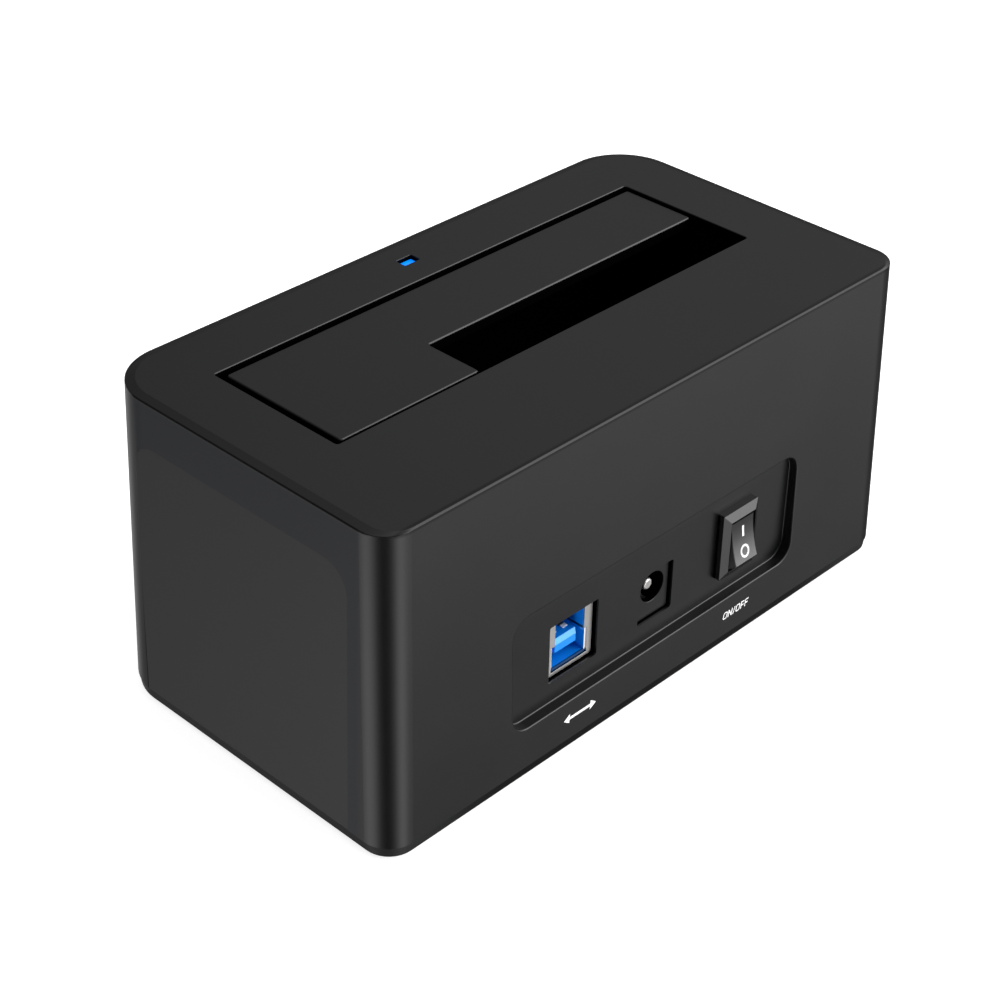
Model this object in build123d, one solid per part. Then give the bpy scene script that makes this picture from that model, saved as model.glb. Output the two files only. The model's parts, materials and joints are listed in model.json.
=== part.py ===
from build123d import *
import math
import os

os.makedirs("parts", exist_ok=True)

# Hard drive docking station, upright type, one bay for a wide or a narrow drive.
# Millimetres, +Z up.  +X runs along the long side, +Y points out of the
# connector side.  z = 0 is the underside of the rubber feet.

# ------------------------------------------------------------------ dimensions
HALF_L_TOP = 66.60        # half length of the body at its top edge
HALF_D_TOP = 35.51        # half depth of the body at its top edge
FLARE = 1.62              # each side leans out this much from top to bottom
Z_REF0 = 1.66             # height where the flare is fully reached
Z_SPAN = 63.43            # height over which it is spread
R_FRONT = 11.80           # vertical corner radius, indicator side
R_REAR = 5.80             # vertical corner radius, connector side
Z_EDGE = 64.89            # height of the outer top edge
Z_TOP = 65.19             # height of the flat top
BAND = 1.80               # width of the shallow sloped band round three sides of the top
BAND_REAR = 0.20          # it narrows to this along the connector side
WALL = 2.30               # shell wall
TOP_T = 2.49              # shell top thickness
EDGE_R = 0.22             # small radius on the outer top edge

FOOT_H = 0.92             # feet stand this far below the base
Z_PART = 3.10             # parting line between shell and base
BASE_T = 2.70             # base plate thickness

SLOT_X = 52.50            # half length of the drive slot
SLOT_DX = 0.25            # the slot sits this far towards +X in the casing
SLOT_Y0, SLOT_Y1 = -21.20, 9.85

FLAP_T = 2.20
FLAP_DROP = 0.53          # flap lies this far below the flat top
FLAP_X0, FLAP_X1 = -51.85, 50.95
FLAP_Y0, FLAP_Y1 = -20.20, 8.64
FLAP_R = 0.34             # radius round the flap's upper edge
NOTCH_X, NOTCH_Y = 18.90, -3.90   # corner of the narrow-drive notch
HINGE_Y = -19.30
HINGE_DZ = 1.90           # hinge axis below the flap's upper face
PIN_R = 0.75
PIN_CLEAR = 0.05

FLOOR_Y = 34.65           # floor of the connector recess
REC_X = 38.40
REC_Z0, REC_Z1 = 11.46, 35.16
REC_R = 4.00

PORT_X0, PORT_X1 = 14.95, 27.35   # data port cut-out
PORT_Z0, PORT_Z1 = 15.70, 27.93
JACK_X0, JACK_X1 = -5.30, 3.95    # power jack cut-out
JACK_Z0, JACK_Z1 = 15.75, 26.40
SW_X, SW_Z = -22.50, 23.00        # rocker switch centre
SW_HX, SW_HZ = 5.00, 7.15         # bezel half sizes
SW_BODY_HX, SW_BODY_HZ = 4.30, 6.40

BOARD_Z0, BOARD_T = 14.10, 1.60
BOARD_ZT = BOARD_Z0 + BOARD_T
BOARD_X0, BOARD_X1 = -50.0, 50.0
BOARD_Y0, BOARD_Y1 = -31.0, 31.5

BAY_T = 1.80              # drive bay wall
BAY_Z0 = 19.20            # underside of the bay floor
BAY_FLOOR = 2.00

LED_X, LED_Y = 0.45, -28.25

Y_SHIFT = -0.63           # puts the origin at the middle of the footprint

Z_FTOP = Z_TOP - FLAP_DROP
Z_AXIS = Z_FTOP - HINGE_DZ
Z_BOTTOM = FOOT_H


# --------------------------------------------------------------------- helpers
def lean(z):
    return FLARE * (1.0 - (z - Z_REF0) / Z_SPAN)


def outline(z, inset=0.0, extra_r=0.0):
    """Plan section of the body at height z, pulled in by inset."""
    hx = HALF_L_TOP + lean(z) - inset
    hy = HALF_D_TOP + lean(z) - inset
    rf = max(R_FRONT - inset + extra_r, 0.5)
    rr = max(R_REAR - inset + extra_r, 0.5)
    s = Rectangle(2 * hx, 2 * hy)
    s = fillet(s.vertices().group_by(Axis.Y)[0], rf)
    s = fillet(s.vertices().group_by(Axis.Y)[-1], rr)
    return Pos(0, 0, z) * s


def skin(*sections):
    return loft([s.faces()[0] for s in sections], ruled=True)


def drafted(z_lo, z_hi, inset=0.0):
    """Upright body with flat leaning sides and corners of one radius from top to bottom."""
    tilt = math.degrees(math.atan2(FLARE, Z_SPAN))
    sharp = Pos(0, 0, z_lo) * Rectangle(2 * (HALF_L_TOP + lean(z_lo) - inset),
                                        2 * (HALF_D_TOP + lean(z_lo) - inset))
    body = extrude(sharp, amount=z_hi - z_lo, taper=tilt)
    upright = [e for e in body.edges() if e.bounding_box().size.Z > (z_hi - z_lo) * 0.9]
    body = fillet([e for e in upright if e.center().Y < 0], R_FRONT - inset)
    upright = [e for e in body.edges() if e.bounding_box().size.Z > (z_hi - z_lo) * 0.9
               and e.center().Y > 0 and abs(e.center().X) > HALF_L_TOP - inset - 1.0
               and abs(e.center().Y) > HALF_D_TOP - inset - 1.0]
    return fillet(upright, R_REAR - inset)


def block(x0, x1, y0, y1, z0, z1):
    return Pos((x0 + x1) / 2, (y0 + y1) / 2, (z0 + z1) / 2) * Box(
        abs(x1 - x0), abs(y1 - y0), abs(z1 - z0))


def rblock_z(x0, x1, y0, y1, z0, z1, r):
    """Upright block with rounded vertical corners."""
    s = Pos((x0 + x1) / 2, (y0 + y1) / 2, z0) * RectangleRounded(x1 - x0, y1 - y0, r)
    return extrude(s, amount=z1 - z0)


def rblock_y(x0, x1, z0, z1, y0, y1, r):
    """Block along Y with rounded edges along Y."""
    pl = Plane(origin=((x0 + x1) / 2, y1, (z0 + z1) / 2), x_dir=(1, 0, 0), z_dir=(0, -1, 0))
    return extrude(pl * RectangleRounded(x1 - x0, z1 - z0, r), amount=y1 - y0)


def rod_z(x, y, z0, z1, r):
    return Pos(x, y, (z0 + z1) / 2) * Cylinder(r, z1 - z0)


def rod_x(x0, x1, y, z, r):
    return Pos((x0 + x1) / 2, y, z) * Rot(0, 90, 0) * Cylinder(r, abs(x1 - x0))


def rod_y(x, y0, y1, z, r):
    return Pos(x, (y0 + y1) / 2, z) * Rot(90, 0, 0) * Cylinder(r, abs(y1 - y0))


def shifted(shape):
    return Pos(0, Y_SHIFT, 0) * shape


def save(shape, name):
    export_step(shape, "parts/" + name + ".step")


def group(items):
    solids = []
    for it in items:
        solids.extend(it.solids())
    return Compound(children=[Solid(s.wrapped) for s in solids])


nodes = {}

# ------------------------------------------------------------------- top shell
outer = drafted(Z_PART, Z_EDGE)
cap_x = HALF_L_TOP + lean(Z_TOP) - BAND
cap_y0 = -(HALF_D_TOP + lean(Z_TOP) - BAND)
cap_y1 = HALF_D_TOP + lean(Z_TOP) - BAND_REAR
flat_top = Pos(0, (cap_y0 + cap_y1) / 2, Z_TOP) * Rectangle(2 * cap_x, cap_y1 - cap_y0)
flat_top = fillet(flat_top.vertices().group_by(Axis.Y)[0], R_FRONT - BAND)
flat_top = fillet(flat_top.vertices().group_by(Axis.Y)[-1], R_REAR - 0.9)
cap = skin(Sketch(outer.faces().sort_by(Axis.Z)[-1].wrapped), flat_top)
shell = outer + cap
edge_loop = [e for e in shell.edges()
             if abs(e.center().Z - Z_EDGE) < 0.02
             and e.bounding_box().size.Z < 0.02]
shell = fillet(edge_loop, EDGE_R)

cavity = drafted(Z_PART - 1.0, Z_TOP - TOP_T, WALL)
shell -= cavity

# thicker pad that backs the connector recess
shell += block(-REC_X - 2.6, REC_X + 2.6, FLOOR_Y - 2.0, FLOOR_Y + 0.6,
               REC_Z0 - 2.0, REC_Z1 + 2.0)
recess = rblock_y(-REC_X, REC_X, REC_Z0, REC_Z1, FLOOR_Y, FLOOR_Y + 6.0, REC_R)
recess = fillet([e for e in recess.edges()
                 if e.bounding_box().max.Y < FLOOR_Y + 0.02], 0.22)
shell -= recess

# shallow flat field on each end, with rounded upper corners
for sx in (1, -1):
    z_hi = Z_REF0 + 54.4
    tilt = math.degrees(math.atan2(FLARE, Z_SPAN))
    field = Rectangle(53.6, 70.0)
    field = fillet(field.vertices().group_by(Axis.Y)[-1], 5.5)
    pl = Plane(origin=(sx * (HALF_L_TOP + lean(z_hi)), 0.4, z_hi),
               x_dir=(0, 1, 0), z_dir=(sx * math.cos(math.radians(tilt)), 0,
                                       math.sin(math.radians(tilt))))
    if sx < 0:
        pl = Plane(origin=(sx * (HALF_L_TOP + lean(z_hi)), 0.4, z_hi),
                   x_dir=(0, -1, 0), z_dir=(sx * math.cos(math.radians(tilt)), 0,
                                            math.sin(math.radians(tilt))))
    tool = extrude(pl * Pos(0, -35.0) * field, amount=-0.12) + \
        extrude(pl * Pos(0, -35.0) * field, amount=1.0)
    shell -= tool

# drive slot, indicator window
slot = rblock_z(SLOT_DX - SLOT_X, SLOT_DX + SLOT_X, SLOT_Y0, SLOT_Y1, Z_TOP - 6, Z_TOP + 3, 0.6)
shell -= slot
window = rblock_z(LED_X - 1.9, LED_X + 1.9, LED_Y - 1.25, LED_Y + 1.25,
                  Z_TOP - 6, Z_TOP + 3, 0.3)
shell -= window

# small radius round the slot mouth and the window
mouth = [e for e in shell.edges()
         if abs(e.center().Z - Z_TOP) < 0.01 and e.bounding_box().size.Z < 0.01
         and abs(e.center().X) < SLOT_X + 0.4
         and SLOT_Y0 - 0.1 < e.center().Y < SLOT_Y1 + 0.1]
shell = fillet(mouth, 0.20)
mouth = [e for e in shell.edges()
         if abs(e.center().Z - Z_TOP) < 0.01 and e.bounding_box().size.Z < 0.01
         and abs(e.center().X - LED_X) < 2.2 and abs(e.center().Y - LED_Y) < 1.6]
shell = fillet(mouth, 0.12)

# small radius round the mouth of the connector recess
rim = []
for e in shell.edges():
    bb = e.bounding_box()
    c = e.center()
    if (bb.min.Y > FLOOR_Y + 0.7 and abs(c.X) < REC_X + 0.3
            and REC_Z0 - 0.3 < c.Z < REC_Z1 + 0.3
            and bb.min.Z > REC_Z0 - 0.3 and bb.max.Z < REC_Z1 + 0.3):
        if abs(c.Y - (HALF_D_TOP + lean(c.Z))) < 0.06:
            rim.append(e)
print("recess rim edges", len(rim))
shell = fillet(rim, 0.22)

# connector cut-outs through the recess floor
shell -= rblock_y(PORT_X0, PORT_X1, PORT_Z0, PORT_Z1, FLOOR_Y - 6, FLOOR_Y + 4, 0.35)
shell -= rblock_y(JACK_X0, JACK_X1, JACK_Z0, JACK_Z1, FLOOR_Y - 6, FLOOR_Y + 4, 0.6)
shell -= rblock_y(SW_X - SW_BODY_HX - 0.05, SW_X + SW_BODY_HX + 0.05,
                  SW_Z - SW_BODY_HZ - 0.05, SW_Z + SW_BODY_HZ + 0.05,
                  FLOOR_Y - 6, FLOOR_Y + 4, 0.5)

# hinge bosses beside the slot ends
for sx in (1, -1):
    shell += block(sx * SLOT_X + max(sx, 0) * SLOT_DX, sx * (SLOT_X + 5.0), -22.2, -16.6,
                   Z_TOP - TOP_T - 2.4, Z_TOP - TOP_T + 0.3)
    shell -= rod_x(sx * (SLOT_X - 1.0), sx * (SLOT_X + 3.3), HINGE_Y, Z_AXIS,
                   PIN_R + PIN_CLEAR)

# long corner posts that take the base screws
POST_X, POST_Y = 57.5, 26.0
for sx in (1, -1):
    for sy in (1, -1):
        shell += rod_z(sx * POST_X, sy * POST_Y, Z_PART + 0.8, Z_TOP - TOP_T + 0.3, 3.1)
        shell += block(sx * (POST_X + 1.5), sx * (HALF_L_TOP - WALL + 0.6),
                       sy * POST_Y - 0.8, sy * POST_Y + 0.8,
                       Z_PART + 4.0, Z_TOP - TOP_T + 0.3)
        shell -= rod_z(sx * POST_X, sy * POST_Y, Z_PART - 1.0, Z_PART + 14.0, 1.15)

# short posts under the top that take the bay screws
EAR_X = 58.6
EARS = [(sx * EAR_X, y) for sx in (1, -1) for y in (-10.0, 5.0)]
for (x, y) in EARS:
    shell += rod_z(x, y, 57.7, Z_TOP - TOP_T + 0.3, 2.8)
    shell -= rod_z(x, y, 57.0, 61.6, 1.0)

nodes["top_shell"] = shell

# ------------------------------------------------------------------- flap door
z0, z1 = Z_FTOP - FLAP_T, Z_FTOP
wide = block(FLAP_X0, FLAP_X1, FLAP_Y0, NOTCH_Y, z0, z1)
tab = block(NOTCH_X, FLAP_X1, NOTCH_Y - 1.0, FLAP_Y1, z0, z1)
flap = wide + tab
flap = fillet([e for e in flap.edges()
               if e.bounding_box().size.Z > FLAP_T - 0.05], 0.6)
flap = fillet([e for e in flap.edges()
               if e.bounding_box().min.Z > z1 - 0.01], FLAP_R)
for (xa, xb) in ((FLAP_X1 - 8.0, FLAP_X1 - 0.2), (FLAP_X0 + 0.2, FLAP_X0 + 8.0)):
    flap += rod_x(xa, xb, HINGE_Y, Z_AXIS, 1.45)
    flap += block(xa, xb, HINGE_Y - 0.6, HINGE_Y + 2.4, Z_AXIS - 1.45, Z_AXIS + 0.2)
# stiffening ribs under the plate
for x in (-34.0, -11.0, 27.0, 43.0):
    flap += block(x - 0.5, x + 0.5, HINGE_Y + 3.2, NOTCH_Y - 1.2, z0 - 0.9, z0 + 0.1)
for (xa, xb) in ((FLAP_X1 - 10.0, FLAP_X1 + 1.0), (FLAP_X0 - 1.0, FLAP_X0 + 10.0)):
    flap -= rod_x(xa, xb, HINGE_Y, Z_AXIS, PIN_R + 0.01)
# pocket that clears the spring coil, and the pad its free leg presses on
SPR_X0, SPR_X1 = 33.0, 38.4
flap += block(SPR_X1 - 0.5, SPR_X1 + 1.4, -15.8, -14.0, Z_AXIS - 0.90, z0 + 0.1)
flap -= rod_x(SPR_X0 - 0.5, SPR_X1 + 0.5, HINGE_Y, Z_AXIS, 1.60)
nodes["flap_door"] = flap

pins = []
for (xa, xb) in ((FLAP_X1 - 10.0, SLOT_X + 3.0), (-SLOT_X - 3.0, FLAP_X0 + 10.0)):
    p = rod_x(xa + 0.05, xb - 0.05, HINGE_Y, Z_AXIS, PIN_R)
    p = chamfer(p.edges().filter_by(GeomType.CIRCLE), 0.15)
    pins.append(p)
nodes["flap_hinge_pins"] = group(pins)

# torsion spring: coil round the hinge line, one leg under the flap,
# one leg down the front wall of the bay
WIRE = 0.22
COIL_R = 1.15
turns = 5.0
pitch = (SPR_X1 - SPR_X0 - 2 * WIRE) / turns
helix = Helix(pitch=pitch, height=pitch * turns, radius=COIL_R,
              center=(0, 0, 0), direction=(0, 0, 1))
prof = Plane(origin=helix @ 0, z_dir=helix % 0) * Circle(WIRE)
coil = sweep(prof, path=helix, is_frenet=True)


def leg(start, heading, length):
    pl = Plane(origin=start, z_dir=heading)
    return extrude(pl * Circle(WIRE), amount=length)


in_dir, out_dir = helix % 0, helix % 1
coil += leg((helix @ 0) + in_dir * 0.15, in_dir * -1, 3.4 + 0.15)
coil += leg((helix @ 1) - out_dir * 0.15, out_dir, 5.6 + 0.15)
# the coil axis is laid along X with both ends at the underside
coil = Pos(SPR_X0 + WIRE, HINGE_Y, Z_AXIS) * Rot(0, 90, 0) * coil
print("spring box", coil.bounding_box(), "solids", len(coil.solids()))
nodes["flap_spring"] = coil

# ------------------------------------------------------------------- drive bay
bx0, bx1 = -SLOT_X - BAY_T, SLOT_X + BAY_T
by0, by1 = SLOT_Y0 - BAY_T, SLOT_Y1 + BAY_T
BAY_ZT = Z_TOP - TOP_T
bay = rblock_z(bx0, bx1, by0, by1, BAY_Z0, BAY_ZT, 1.2)
bay -= block(-SLOT_X, SLOT_X, SLOT_Y0, SLOT_Y1, BAY_Z0 + BAY_FLOOR, BAY_ZT + 2)
# opening in the floor for the drive socket
SOC_X, SOC_Y = -19.0, 5.30
SOC_HX, SOC_HY = 21.5, 2.90
bay -= block(SOC_X - SOC_HX - 0.5, SOC_X + SOC_HX + 0.5,
             SOC_Y - SOC_HY - 0.5, SOC_Y + SOC_HY + 0.5, BAY_Z0 - 2, BAY_Z0 + 6)
# reliefs round the hinge bosses
for sx in (1, -1):
    bay -= block(sx * (SLOT_X - 0.5), sx * (SLOT_X + 6.0), -22.5, -16.3,
                 Z_TOP - TOP_T - 2.7, BAY_ZT + 2)
# notch in the front wall that holds the fixed leg of the spring
bay -= block(SPR_X0 - 1.0, SPR_X0 + 0.8, by0 - 1.0, SLOT_Y0 + 1.0,
             Z_AXIS - COIL_R - WIRE - 0.15, BAY_ZT + 2)
# ears that hang the bay from the top shell
for (x, y) in EARS:
    s = 1 if x > 0 else -1
    ear = rblock_z(min(s * (SLOT_X + 1.0), s * 61.8), max(s * (SLOT_X + 1.0), s * 61.8),
                   y - 3.4, y + 3.4, 55.7, 57.7, 1.0)
    ear -= block(-SLOT_X, SLOT_X, -40, 40, 50, 60)
    bay += ear
    bay += block(s * (SLOT_X + 1.0), s * (SLOT_X + 3.5), y - 0.7, y + 0.7, 50.0, 56.0)
    bay -= rod_z(x, y, 50, 60, 1.35)
nodes["drive_bay"] = bay

def pan_screw(x, y, z_seat, up, head_r, head_h, shank_r, length):
    """Pan-head screw; up = +1 drives upwards with its head below z_seat."""
    head = rod_z(x, y, z_seat - up * head_h, z_seat, head_r) if up > 0 else \
        rod_z(x, y, z_seat, z_seat + head_h, head_r)
    far = head.edges().filter_by(GeomType.CIRCLE)
    far = far.sort_by(Axis.Z)[0] if up > 0 else far.sort_by(Axis.Z)[-1]
    head = fillet([far], head_h * 0.45)
    shank = rod_z(x, y, z_seat, z_seat + up * length, shank_r) if up > 0 else \
        rod_z(x, y, z_seat - length, z_seat, shank_r)
    s = head + shank
    zr = z_seat - up * head_h
    for ang in (0, 90):
        c = Pos(x, y, zr) * Rot(0, 0, ang) * Box(head_r * 1.1, 0.55, head_h * 0.9)
        s -= c
    return s


nodes["bay_screws"] = group([pan_screw(x, y, 55.7, 1, 2.3, 1.6, 0.98, 5.6)
                             for (x, y) in EARS])

# ------------------------------------------------------------------ base plate
base = skin(outline(Z_BOTTOM, 0.46), outline(Z_PART, 0.16))
base += skin(outline(Z_PART, WALL + 0.15), outline(Z_BOTTOM + BASE_T + 0.0, WALL + 0.15))
low = [e for e in base.edges() if e.bounding_box().max.Z < Z_BOTTOM + 0.01]
base = fillet(low, 0.30)
FEET = [(sx * 44.0, sy * 27.0) for sx in (1, -1) for sy in (1, -1)]
for (x, y) in FEET:
    base -= rod_z(x, y, Z_BOTTOM - 1, Z_BOTTOM + 0.6, 5.15)
for sx in (1, -1):
    for sy in (1, -1):
        base -= rod_z(sx * POST_X, sy * POST_Y, Z_BOTTOM - 1, Z_PART + 3, 1.6)
        base -= rod_z(sx * POST_X, sy * POST_Y, Z_BOTTOM - 1, Z_BOTTOM + 1.1, 2.9)
STAND = [(sx * 46.0, y) for sx in (1, -1) for y in (-26.5, 26.5)]
for (x, y) in STAND:
    base += rod_z(x, y, Z_BOTTOM + BASE_T - 0.3, BOARD_Z0, 2.9)
    for ang in (0, 90):
        base += Pos(x, y, (Z_BOTTOM + BASE_T + 9.0) / 2 + 0.8) * Rot(0, 0, ang) * \
            Box(9.0, 0.9, 9.0 - BASE_T - Z_BOTTOM + 2.0)
    base -= rod_z(x, y, BOARD_Z0 - 8.0, BOARD_Z0 + 1.0, 1.1)
nodes["base_plate"] = base

feet = []
for (x, y) in FEET:
    f = rod_z(x, y, 0, FOOT_H + 0.6, 5.0)
    f = fillet([f.edges().filter_by(GeomType.CIRCLE).sort_by(Axis.Z)[0]], 0.45)
    feet.append(f)
nodes["rubber_feet"] = group(feet)

nodes["base_screws"] = group([pan_screw(sx * POST_X, sy * POST_Y, Z_BOTTOM + 1.1, 1,
                                        2.6, 1.0, 1.13, 10.0)
                              for sx in (1, -1) for sy in (1, -1)])

# ------------------------------------------------------------------ main board
board = rblock_z(BOARD_X0, BOARD_X1, BOARD_Y0, BOARD_Y1, BOARD_Z0, BOARD_ZT, 1.5)
for (x, y) in STAND:
    board -= rod_z(x, y, BOARD_Z0 - 1, BOARD_ZT + 1, 1.45)
for x in (15.30, 26.50):
    board -= block(x - 0.15, x + 0.55, 24.0, 26.6, BOARD_Z0 - 1, BOARD_ZT + 1)
nodes["main_board"] = board
nodes["board_screws"] = group([pan_screw(x, y, BOARD_ZT, -1, 2.4, 1.6, 1.08, 7.5)
                               for (x, y) in STAND])

# drive socket standing on the board, mouth up
SOC_ZT = 25.6
soc = rblock_z(SOC_X - SOC_HX, SOC_X + SOC_HX, SOC_Y - SOC_HY, SOC_Y + SOC_HY,
               BOARD_ZT, SOC_ZT, 0.5)
SIG_X0, SIG_X1 = SOC_X - 19.3, SOC_X - 8.3      # short key slot
POW_X0, POW_X1 = SOC_X - 5.4, SOC_X + 16.2      # long key slot
for (xa, xb) in ((SIG_X0, SIG_X1), (POW_X0, POW_X1)):
    soc -= block(xa, xb, SOC_Y - 1.10, SOC_Y + 1.10, SOC_ZT - 6.0, SOC_ZT + 1)
    soc -= block(xa, xa + 1.3, SOC_Y - 2.00, SOC_Y + 1.10, SOC_ZT - 6.0, SOC_ZT + 1)
    soc -= block(xa - 0.4, xb + 0.4, SOC_Y - 1.5, SOC_Y + 1.5, SOC_ZT - 0.5, SOC_ZT + 1)
nodes["drive_socket"] = soc
cont = []
for i in range(7):
    x = SIG_X0 + 2.15 + i * 1.27
    cont.append(block(x - 0.35, x + 0.35, SOC_Y + 0.72, SOC_Y + 1.10, SOC_ZT - 6.0, SOC_ZT - 1.0))
for i in range(15):
    x = POW_X0 + 2.15 + i * 1.27
    cont.append(block(x - 0.35, x + 0.35, SOC_Y + 0.72, SOC_Y + 1.10, SOC_ZT - 6.0, SOC_ZT - 1.0))
nodes["drive_socket_contacts"] = group(cont)

# ---------------------------------------------------------- parts on the board
def chip(x, y, hx, hy, h, leads=0):
    c = rblock_z(x - hx, x + hx, y - hy, y + hy, BOARD_ZT, BOARD_ZT + h, 0.25)
    return chamfer([e for e in c.edges() if e.bounding_box().min.Z > BOARD_ZT + h - 0.01], 0.12)


nodes["bridge_chip"] = chip(18.0, -10.0, 4.5, 4.5, 1.0)
nodes["regulator_chip"] = chip(-13.5, 25.0, 2.5, 2.0, 1.6)
nodes["power_inductor"] = fillet(
    rblock_z(31.4, 38.6, 16.4, 23.6, BOARD_ZT, BOARD_ZT + 3.8, 1.2).edges().group_by(Axis.Z)[-1], 0.4)
caps = []
for (x, y) in ((9.4, 26.0), (9.4, 18.2), (-11.8, 17.0)):
    c = rod_z(x, y, BOARD_ZT + 0.6, BOARD_ZT + 8.3, 3.15)
    c = fillet([c.edges().filter_by(GeomType.CIRCLE).sort_by(Axis.Z)[-1]], 0.4)
    c += rblock_z(x - 3.3, x + 3.3, y - 3.3, y + 3.3, BOARD_ZT, BOARD_ZT + 0.8, 0.8)
    caps.append(c)
nodes["capacitors"] = group(caps)
nodes["crystal_can"] = fillet(
    rblock_z(30.0, 40.0, -14.2, -9.8, BOARD_ZT, BOARD_ZT + 3.0, 2.1).edges().group_by(Axis.Z)[-1], 0.4)

# ------------------------------------------------------------------- data port
PORT_FY = 33.60
px0, px1 = 15.30, 26.90
pz0, pz1 = 15.92, 27.70
PLATE = 0.30              # front plate of the metal shell
pxc = (px0 + px1) / 2
T = 0.40
pshell = rblock_y(px0, px1, pz0, pz1, PORT_FY - 16.0, PORT_FY, 0.5)
pshell -= rblock_y(px0 + T, px1 - T, pz0 + T, pz1 - T, PORT_FY - 15.6, PORT_FY - PLATE, 0.3)
mouth_low = block(pxc - 4.60, pxc + 4.60, PORT_FY - 1, PORT_FY + 1, pz0 + 0.68, 22.10)
mouth_high = block(pxc - 3.75, pxc + 3.75, PORT_FY - 1, PORT_FY + 1, 22.0, pz1 - 0.5)
pshell -= mouth_low
pshell -= mouth_high
# side tabs that solder into the board
for x in (px0, px1 - T):
    pshell += block(x, x + T, 24.2, 26.4, BOARD_Z0 - 0.6, pz0 + 0.3)
nodes["data_port_shell"] = pshell

ins = rblock_y(px0 + T, px1 - T, pz0 + T, pz1 - T, PORT_FY - 15.0, PORT_FY - PLATE, 0.3)
# cavity: broad below, narrow hump above
ins -= block(pxc - 4.20, pxc + 4.20, PORT_FY - 9.6, PORT_FY + 1, pz0 + 1.23, 22.10)
ins -= block(pxc - 3.65, pxc + 3.65, PORT_FY - 9.6, PORT_FY + 1, 22.0, pz1 - 0.75)
TZ0, TZ1 = 19.58, 22.40     # tongue
TFY = PORT_FY - 0.95        # its front
tpts = [(PORT_FY - 9.9, TZ0), (TFY, TZ0), (TFY, TZ1 - 1.25), (TFY - 0.25, TZ1),
        (PORT_FY - 9.9, TZ1)]
tongue = extrude(make_face(Polyline(*[(0, y, z) for (y, z) in tpts], close=True)), amount=5.4)
tbb = tongue.bounding_box()
tongue = Pos(pxc - (tbb.min.X + tbb.max.X) / 2, 0, 0) * tongue
ins += tongue
rail = block(pxc - 2.70, pxc + 2.70, PORT_FY - 9.9, PORT_FY - 4.2, 24.75, 25.75)
ins += rail
nodes["data_port_insert"] = ins
pc = []
for i in range(2):
    x = pxc - 1.45 + i * 2.9
    pc.append(block(x - 0.60, x + 0.60, PORT_FY - 9.0, PORT_FY - 2.40, TZ1, TZ1 + 0.2))
    pc.append(block(x - 0.60, x + 0.60, PORT_FY - 9.0, PORT_FY - 2.40, TZ0 - 0.2, TZ0))
for i in range(5):
    x = pxc - 2.0 + i * 1.0
    pc.append(block(x - 0.22, x + 0.22, PORT_FY - 9.0, PORT_FY - 4.6, 24.55, 24.75))
nodes["data_port_contacts"] = group(pc)

# ------------------------------------------------------------------ power jack
JACK_FY = 33.85
JX, JZ = -0.58, 22.15
jx0, jx1 = JX - 4.45, JX + 4.45
jz1 = 26.20
jack = rblock_y(jx0, jx1, BOARD_ZT + 0.15, jz1, JACK_FY - 3.2, JACK_FY, 0.5)
barrel_r = 4.05
jack += rblock_y(JX - barrel_r, JX + barrel_r, BOARD_ZT + 0.15, jz1 - 0.15,
                 JACK_FY - 13.8, JACK_FY - 3.0, 1.6)
jack -= rod_y(JX, JACK_FY - 9.8, JACK_FY + 1.0, JZ, 3.05)
jack = chamfer([e for e in jack.edges().filter_by(GeomType.CIRCLE)
                if abs(e.center().Y - JACK_FY) < 0.01], 0.15)
# channel for the spring contact in the lower wall of the bore
jack -= block(JX - 0.9, JX + 0.9, JACK_FY - 9.8, JACK_FY - 1.2, JZ - 3.9, JZ - 2.6)
JPIN_R = 1.18
jack -= rod_y(JX, JACK_FY - 12.6, JACK_FY - 9.7, JZ, JPIN_R)
nodes["power_jack_body"] = jack
jpin = rod_y(JX, JACK_FY - 12.6, JACK_FY - 0.90, JZ, JPIN_R)
jpin = fillet([jpin.edges().filter_by(GeomType.CIRCLE).sort_by(Axis.Y)[-1]], 0.45)
nodes["power_jack_pin"] = jpin
cpts = [(JACK_FY - 9.8, JZ - 3.9), (JACK_FY - 1.4, JZ - 3.9), (JACK_FY - 1.4, JZ - 3.6),
        (JACK_FY - 2.6, JZ - 3.55), (JACK_FY - 5.0, JZ - 2.55), (JACK_FY - 7.0, JZ - 3.2),
        (JACK_FY - 9.8, JZ - 3.55)]
cface = make_face(Polyline(*[(0, y, z) for (y, z) in cpts], close=True))
jcont = extrude(cface, amount=1.4)
jbb = jcont.bounding_box()
jcont = Pos(JX - (jbb.min.X + jbb.max.X) / 2, 0, 0) * jcont
nodes["power_jack_contact"] = jcont

# --------------------------------------------------------------- rocker switch
ZP = SW_Z                  # pivot height
YP = FLOOR_Y               # pivot lies in the recess floor plane
SW_PROUD, SW_CH, SW_INSET = 1.40, 0.80, 1.50
OPEN_HX, OPEN_HZ = 3.50, 5.50


def sw_rect(hx, hz, y, r):
    pl = Plane(origin=(SW_X, y, SW_Z), x_dir=(1, 0, 0), z_dir=(0, -1, 0))
    return pl * RectangleRounded(2 * hx, 2 * hz, r)


house = extrude(sw_rect(SW_HX, SW_HZ, FLOOR_Y + SW_PROUD, 0.25), amount=SW_PROUD)
house += loft([sw_rect(SW_HX, SW_HZ, FLOOR_Y + SW_PROUD, 0.25).faces()[0],
               sw_rect(SW_HX - SW_INSET, SW_HZ - 1.65, FLOOR_Y + SW_PROUD + SW_CH, 0.25).faces()[0]],
              ruled=True)
house += extrude(sw_rect(SW_BODY_HX, SW_BODY_HZ, FLOOR_Y + 0.1, 0.45), amount=12.1)
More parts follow.
